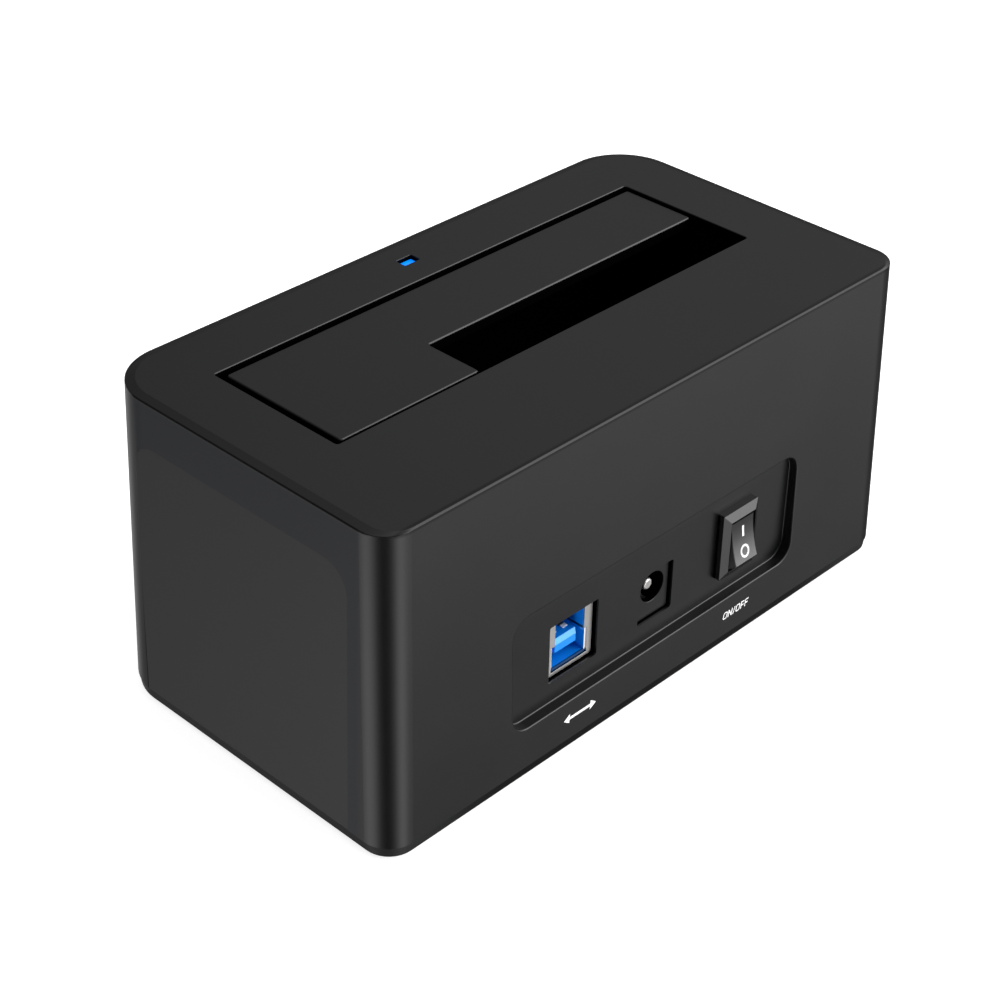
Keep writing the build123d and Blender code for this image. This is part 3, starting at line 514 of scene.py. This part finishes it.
# --------------------------------------------------------------- printed marks
def add_mesh(name, verts, faces, mat, body, smooth=False):
    me = bpy.data.meshes.new(name)
    me.from_pydata([tuple(v) for v in verts], [], faces)
    me.materials.append(mat)
    me.update()
    bm = bmesh.new()
    bm.from_mesh(me)
    bmesh.ops.recalc_face_normals(bm, faces=bm.faces)
    bm.to_mesh(me)
    bm.free()
    for p in me.polygons:
        p.use_smooth = smooth
    ob = bpy.data.objects.new(name, me)
    SCENE.collection.objects.link(ob)
    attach(ob, body)
    return ob


def slab(outline, to3d, thick=0.03, sink=0.02, inner=None):
    """A thin closed solid of a 2-D outline, wrapped on to a surface: to3d(u, v, h)
    gives the point h millimetres above the surface.  inner is a hole's outline with
    as many points."""
    n = len(outline)
    verts, faces = [], []
    if inner is None:
        verts += [to3d(u, v, thick) for (u, v) in outline]
        verts += [to3d(u, v, -sink) for (u, v) in outline]
        faces.append(tuple(range(n)))
        faces.append(tuple(range(2 * n - 1, n - 1, -1)))
        for i in range(n):
            j = (i + 1) % n
            faces.append((i, i + n, j + n, j))
        return verts, faces
    for h in (thick, -sink):
        verts += [to3d(u, v, h) for (u, v) in outline]
        verts += [to3d(u, v, h) for (u, v) in inner]
    for i in range(n):
        j = (i + 1) % n
        faces.append((i, j, n + j, n + i))
        faces.append((2 * n + i, 3 * n + i, 3 * n + j, 2 * n + j))
        faces.append((i, 2 * n + i, 2 * n + j, j))
        faces.append((n + i, n + j, 3 * n + j, 3 * n + i))
    return verts, faces


# rocker face: a shallow dish of one arc, turned with the rocker about its pivot
RK_R, TIP_A, DISH = 5.25, math.radians(33.65), 2.52
TIP_Z, TIP_Y = RK_R * math.cos(TIP_A), RK_R * math.sin(TIP_A)
SAG = TIP_Y - DISH
DISH_R = (TIP_Z ** 2 + SAG ** 2) / (2 * SAG)
TH = math.radians(11.25)
PIV = (-22.5, 34.65, 23.0)


def on_rocker(u, v, h):
    """u across (+ to the right when seen from outside), v along the rocker."""
    y = DISH + DISH_R - math.sqrt(DISH_R ** 2 - v * v) + h
    z = v
    yy = y * math.cos(TH) - z * math.sin(TH)
    zz = y * math.sin(TH) + z * math.cos(TH)
    return mm(PIV[0] - u, PIV[1] + yy, PIV[2] + zz)


bar = [(-0.26, 0.70), (0.26, 0.70), (0.26, 1.85), (0.26, 2.95), (-0.26, 2.95), (-0.26, 1.85)]
v_, f_ = slab(bar, on_rocker)
add_mesh("mark_bar", v_, f_, INK, "rocker")
ring_o, ring_i = [], []
for k in range(40):
    a = 2 * math.pi * k / 40
    ring_o.append((1.22 * math.cos(a), -2.35 + 1.32 * math.sin(a)))
    ring_i.append((0.80 * math.cos(a), -2.35 + 0.89 * math.sin(a)))
v_, f_ = slab(ring_o, on_rocker, inner=ring_i)
add_mesh("mark_ring", v_, f_, INK, "rocker")

# torsion spring of the flap: fixed leg, five turns and free leg of one wire, in place of
# the CAD spring, which is hidden
WIRE_R, COIL_R, TURNS = 0.22, 1.15, 5
SPR_A, SPR_B = (33.22, -19.30, 62.76), 4.96      # start on the hinge line, length of the coil


def wire_path():
    """Points, tangents and outward normals along the wire, in body-centred millimetres."""
    rise = SPR_B / (2 * math.pi * TURNS)
    heading = Vector((rise, COIL_R, 0.0)).normalized()
    down = Vector((0.0, 0.0, -1.0))
    x0, y0, z0 = SPR_A
    pts = []
    first = Vector((x0, y0, z0 - COIL_R))
    for k in range(9):
        pts.append((first - heading * (3.4 * (1 - k / 9.0)), heading, down))
    steps = 28 * TURNS
    for k in range(steps + 1):
        a = 2 * math.pi * TURNS * k / steps
        out = Vector((0.0, math.sin(a), -math.cos(a)))
        at = Vector((x0 + rise * a, y0, z0)) + out * COIL_R
        along = Vector((rise, COIL_R * math.cos(a), COIL_R * math.sin(a))).normalized()
        pts.append((at, along, out))
    last = Vector((x0 + SPR_B, y0, z0 - COIL_R))
    for k in range(1, 13):
        pts.append((last + heading * (5.6 * k / 12.0), heading, down))
    return pts


def wire_mesh(sides=12):
    verts, faces = [], []
    path = wire_path()
    for at, along, out in path:
        side = along.cross(out).normalized()
        for k in range(sides):
            a = 2 * math.pi * k / sides
            p = at + (out * math.cos(a) + side * math.sin(a)) * WIRE_R
            verts.append(mm(p.x, p.y, p.z))
    for i in range(len(path) - 1):
        for k in range(sides):
            m = (k + 1) % sides
            faces.append((i * sides + k, i * sides + m, (i + 1) * sides + m, (i + 1) * sides + k))
    faces.append(tuple(range(sides)))
    faces.append(tuple(range((len(path) - 1) * sides, len(path) * sides))[::-1])
    return verts, faces


v_, f_ = wire_mesh()
spring_me = bpy.data.meshes.new("torsion_spring")
spring_me.from_pydata([tuple(v) for v in v_], [], f_)
spring_me.materials.append(MATS["spring_steel"])
bm = bmesh.new()
bm.from_mesh(spring_me)
bmesh.ops.recalc_face_normals(bm, faces=bm.faces)
bm.to_mesh(spring_me)
bm.free()
for p in spring_me.polygons:
    p.use_smooth = len(p.vertices) == 4
torsion_spring = bpy.data.objects.new("torsion_spring", spring_me)
SCENE.collection.objects.link(torsion_spring)
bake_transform(torsion_spring)
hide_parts("flap_spring")

# outer wall of the connector side leans back a little
HALF_D_TOP, FLARE, Z_REF0, Z_SPAN = 35.51, 1.62, 1.66, 63.43


def wall_y(z):
    return HALF_D_TOP + FLARE * (1.0 - (z - Z_REF0) / Z_SPAN)


def on_wall(cx, cz):
    def f(u, v, h):
        return mm(cx - u, wall_y(cz + v) + h, cz + v)
    return f


def rounded(w, h, r, cx, steps=5):
    """Outline of a rounded rectangle round (cx, 0)."""
    pts = []
    for (sx, sy, a0) in ((1, 1, 0), (-1, 1, 90), (-1, -1, 180), (1, -1, 270)):
        for k in range(steps):
            a = math.radians(a0 + 90.0 * k / (steps - 1))
            pts.append((cx + sx * (w / 2 - r) + r * math.cos(a), sy * (h / 2 - r) + r * math.sin(a)))
    return pts


def lettering(words, cx, cz, height, stroke, gap, shear, name):
    """Plain stroke letters as a thin raised print on the wall."""
    wide = {"O": 1.22, "N": 1.18, "/": 0.62, "F": 0.98}
    total = sum(wide[c] for c in words) + gap * (len(words) - 1)
    put = on_wall(cx, cz)
    verts, faces = [], []

    def add(outer, inner=None):
        slant = [(u + shear * v, v) for (u, v) in outer]
        hole = None if inner is None else [(u + shear * v, v) for (u, v) in inner]
        v2, f2 = slab(slant, put, inner=hole)
        n0 = len(verts)
        verts.extend(v2)
        faces.extend(tuple(i + n0 for i in f) for f in f2)

    def bar_of(u0, u1, v0, v1):
        add([(u0, v0), (u1, v0), (u1, v1), (u0, v1)])

    h2, u = height / 2, -total / 2
    for c in words:
        w_ = wide[c]
        if c == "O":
            add(rounded(w_, height, 0.42, u + w_ / 2),
                rounded(w_ - 2 * stroke, height - 2 * stroke, 0.18, u + w_ / 2))
        elif c == "N":
            bar_of(u, u + stroke, -h2, h2)
            bar_of(u + w_ - stroke, u + w_, -h2, h2)
            add([(u + stroke, h2 - 0.46), (u + w_ - stroke, -h2), (u + w_ - stroke, -h2 + 0.46),
                 (u + stroke, h2)])
        elif c == "F":
            bar_of(u, u + stroke, -h2, h2)
            bar_of(u + stroke, u + w_, h2 - stroke, h2)
            bar_of(u + stroke, u + w_ - 0.12, -0.16, -0.16 + stroke)
        else:
            add([(u, -h2), (u + stroke, -h2), (u + w_, h2), (u + w_ - stroke, h2)])
        u += w_ + gap
    add_mesh(name, verts, faces, INK, "housing")


lettering("ON/OFF", -22.3, 7.5, 1.52, 0.23, 0.24, 0.18, "print_on_off")

# a plain two-way arrow under the data port
ax, ah, hw, hl, sh = 4.2, 0.95, 0.28, 1.5, 0.12
arrow = [(-ax, 0.0), (-ax + hl, ah), (-ax + hl, hw), (ax - hl, hw), (ax - hl, ah), (ax, 0.0),
         (ax - hl, -ah), (ax - hl, -hw), (-ax + hl, -hw), (-ax + hl, -ah)]
arrow = arrow[::-1]
v_, f_ = slab([(u + sh * v, v) for (u, v) in arrow], on_wall(21.3, 7.55))
add_mesh("print_arrow", v_, f_, INK, "housing")

# ----------------------------------------------------------------------- camera
AZ, EL, ROLL = math.radians(133.56), math.radians(33.83), math.radians(1.17)
DIST, TARGET = 0.40006, Vector((0.01108, 0.00604, 0.03337))
back = Vector((math.sin(AZ) * math.cos(EL), -math.cos(AZ) * math.cos(EL), math.sin(EL)))
right = (-back).cross(Vector((0, 0, 1))).normalized()
up = right.cross(-back).normalized()
r2 = right * math.cos(ROLL) + up * math.sin(ROLL)
u2 = -right * math.sin(ROLL) + up * math.cos(ROLL)
cam_data = bpy.data.cameras.new("view_camera")
cam_data.sensor_width = 36.0
cam_data.lens = 79.40
cam_data.clip_start, cam_data.clip_end = 0.02, 20.0
cam = bpy.data.objects.new("view_camera", cam_data)
SCENE.collection.objects.link(cam)
place = Matrix((r2, u2, back)).transposed().to_4x4()
place.translation = TARGET + back * DIST
cam.matrix_world = place
SCENE.camera = cam

# ------------------------------------------------------------------ soft studio
world = bpy.data.worlds.new("studio")
SCENE.world = world
world.use_nodes = True
w = Tree(world.node_tree)
w_out = w.new("ShaderNodeOutputWorld")
direction = w.vmath("NORMALIZE", w.new("ShaderNodeTexCoord").outputs["Generated"])


def toward(az, el):
    """Compass direction from +X, in degrees."""
    a, e = math.radians(az), math.radians(el)
    return Vector((math.cos(a) * math.cos(e), math.sin(a) * math.cos(e), math.sin(e)))


def lobe(az, el, sharp, power):
    """Soft round light: power at its middle, falling off smoothly."""
    d = w.vmath("DOT_PRODUCT", direction, tuple(toward(az, el)))
    e = w.math("MULTIPLY", w.math("SUBTRACT", d, 1.0), sharp)
    return w.math("MULTIPLY", w.math("EXPONENT", e), power)


LIGHT_BASE = 0.03
LOBES = [
    # low, round the end and the front: the long soft reflections of the walls
    (-150, -34, 30.0, 0.305), (-105, -34, 30.0, 0.43), (-30, -34, 30.0, 1.055),
    (-15, -34, 30.0, 0.80), (0, -34, 30.0, 1.11), (75, -34, 30.0, 0.284),
    (90, -34, 30.0, 2.124), (210, -34, 30.0, 0.192),
    (-120, -10, 14.0, 0.235), (-90, -10, 14.0, 0.391), (-60, -10, 14.0, 0.333),
    (0, -10, 14.0, 0.20),
    # the strong side light over the connector side
    (120, -10, 14.0, 0.64), (120, 2, 14.0, 4.89), (130, 35, 12.0, 2.466), (160, 35, 12.0, 3.59),
    # fill from above
    (45, 35, 12.0, 0.157), (0, 88, 6.0, 0.936), (-136, 34, 25.0, 0.31),
]
total = w.math("ADD", LIGHT_BASE, 0.0)
for item in LOBES:
    total = w.math("ADD", total, lobe(*item))
total = w.math("MAXIMUM", total, 0.02)
env = w.new("ShaderNodeBackground")
env.inputs["Color"].default_value = (1.0, 1.0, 1.0, 1)
w.link(total, env.inputs["Strength"])
seen = w.new("ShaderNodeBackground")
seen.inputs["Color"].default_value = (1, 1, 1, 1)
seen.inputs["Strength"].default_value = 0.98
mixw = w.new("ShaderNodeMixShader")
w.link(w.new("ShaderNodeLightPath").outputs["Is Camera Ray"], mixw.inputs[0])
w.link(env.outputs[0], mixw.inputs[1])
w.link(seen.outputs[0], mixw.inputs[2])
w.link(mixw.outputs[0], w_out.inputs[0])

# ------------------------------------------------------------------------ floor
bm = bmesh.new()
bmesh.ops.create_circle(bm, cap_ends=True, segments=96, radius=6.0)
floor_me = bpy.data.meshes.new("floor")
bm.to_mesh(floor_me)
bm.free()
floor = bpy.data.objects.new("floor", floor_me)
SCENE.collection.objects.link(floor)
floor.location.z = -0.00002
fm, ft, fb, fco = material("floor_paper")
paper = ft.noise(fco, 300.0, 3.0)
ft.link(ft.mix(paper, (0.86, 0.86, 0.86, 1), (0.88, 0.88, 0.88, 1)), fb.inputs["Base Color"])
fb.inputs["Roughness"].default_value = 0.9
fb.inputs["Specular IOR Level"].default_value = 0.1
fb.inputs["Emission Color"].default_value = (1, 1, 1, 1)
fb.inputs["Emission Strength"].default_value = 0.80
fout = [n for n in ft.n if n.type == "OUTPUT_MATERIAL"][0]
clear = ft.new("ShaderNodeBsdfTransparent")
mixf = ft.new("ShaderNodeMixShader")
ft.link(ft.new("ShaderNodeNewGeometry").outputs["Backfacing"], mixf.inputs[0])
ft.link(fb.outputs[0], mixf.inputs[1])
ft.link(clear.outputs[0], mixf.inputs[2])
ft.link(mixf.outputs[0], fout.inputs[0])
floor_me.materials.append(fm)
floor.visible_glossy = False
floor.visible_shadow = False
